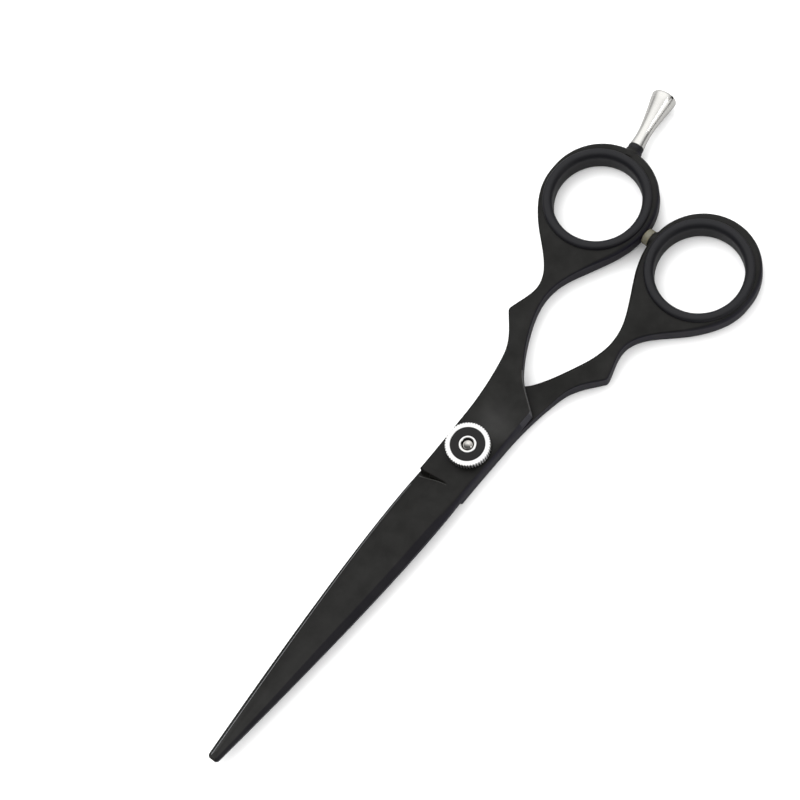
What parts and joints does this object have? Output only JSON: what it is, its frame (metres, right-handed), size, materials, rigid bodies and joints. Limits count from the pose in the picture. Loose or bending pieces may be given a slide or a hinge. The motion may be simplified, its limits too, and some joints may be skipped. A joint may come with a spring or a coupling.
{
  "type": "hair cutting shears",
  "caption": "Slim hair cutting shears with rubber-lined finger and thumb rings, spurred handles, a knurled tension wheel on the pivot, a ring bumper and a screw-in finger rest.",
  "frame": {"origin": "on the pivot axis, at the outer face of the pivot bolt's head", "axes": "+Z along the pivot axis towards the tension wheel, +Y from the pivot towards the finger and thumb rings with the tips at -Y, finger ring at -X and thumb ring at +X with the shears closed"},
  "size_m": [0.0604, 0.1975, 0.0092],
  "materials": {
    "blade_coating": "satin black coating on steel",
    "insert_rubber": "soft black rubber with a low sheen",
    "bumper_silicone": "milky translucent silicone",
    "rest_steel": "polished turned steel",
    "washer_rubber": "black",
    "bolt_steel": "polished",
    "bush_plastic": "natural nylon",
    "spring_steel": "plain rolled",
    "wheel_nickel": "bright nickel, turned faces and a knurled rim",
    "inlay_black": "satin black"
  },
  "bodies": {
    "finger_half": {"upper_blade": "blade_coating", "finger_ring_insert": "insert_rubber", "pivot_bush": "bush_plastic", "thrust_washer": "bush_plastic"},
    "thumb_half": {"lower_blade": "blade_coating", "thumb_ring_insert": "insert_rubber", "bumper": "bumper_silicone", "pivot_bolt": "bolt_steel", "wave_spring": "spring_steel"},
    "click_stage": {"click_washer": "spring_steel"},
    "wheel": {"tension_wheel": "wheel_nickel", "wheel_inlay": "inlay_black"},
    "rest_collar": {"rest_washer": "washer_rubber"},
    "rest": {"finger_rest": "rest_steel"}
  },
  "joints": [
    {"name": "blade_pivot", "type": "hinge", "parent": "finger_half", "child": "thumb_half", "pos_m": [0, 0, 0.00285], "axis": [0, 0, -1], "range_deg": [0, 80]},
    {"name": "wheel_travel", "type": "slide", "parent": "thumb_half", "child": "click_stage", "axis": [0, 0, 1], "range_m": [-0.0000625, 0.0005], "deforming": ["wave_spring"]},
    {"name": "tension_dial", "type": "hinge", "parent": "click_stage", "child": "wheel", "pos_m": [0, 0, 0.0062], "axis": [0, 0, 1], "range_deg": [-45, 360]},
    {"name": "rest_travel", "type": "slide", "parent": "finger_half", "child": "rest_collar", "axis": [-0.1822, 0.9833, 0], "range_m": [0, 0.0045]},
    {"name": "rest_thread", "type": "hinge", "parent": "rest_collar", "child": "rest", "pos_m": [-0.0171, 0.08415, 0.00285], "axis": [-0.1822, 0.9833, 0], "range_deg": [0, 3240]}
  ],
  "couplings": [
    {"joint": "tension_dial", "follows": "wheel_travel", "rad_per_m": 12566},
    {"joint": "rest_thread", "follows": "rest_travel", "rad_per_m": 12566}
  ]
}
